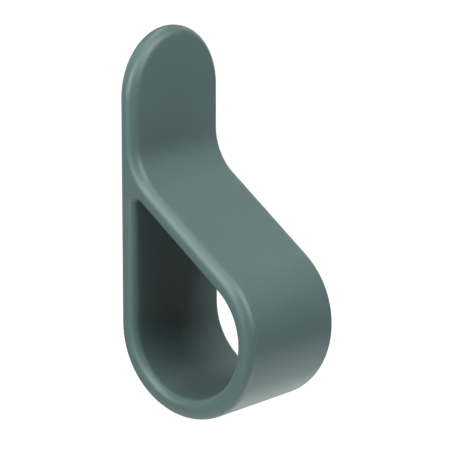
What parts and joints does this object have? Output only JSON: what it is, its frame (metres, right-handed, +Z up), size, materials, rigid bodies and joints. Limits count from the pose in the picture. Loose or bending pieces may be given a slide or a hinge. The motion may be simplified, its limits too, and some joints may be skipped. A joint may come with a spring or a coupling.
{
  "type": "cabinet knob",
  "caption": "Painted die-cast cabinet knob: a flat tongue with a half-round top that bends forward into a teardrop finger loop, screwed on from behind.",
  "frame": {"origin": "centre of the screw hole's mouth, on the flat back that lies against the door or drawer front", "axes": "+Z up along the tongue, -Y forward away from the cabinet, X across the strap and through the finger loop"},
  "size_m": [0.02, 0.0258, 0.0571],
  "materials": {
    "paint": "matte petrol grey-green powder coat on die-cast zinc"
  },
  "bodies": {
    "root": {"loop_knob": "paint"}
  },
  "joints": []
}
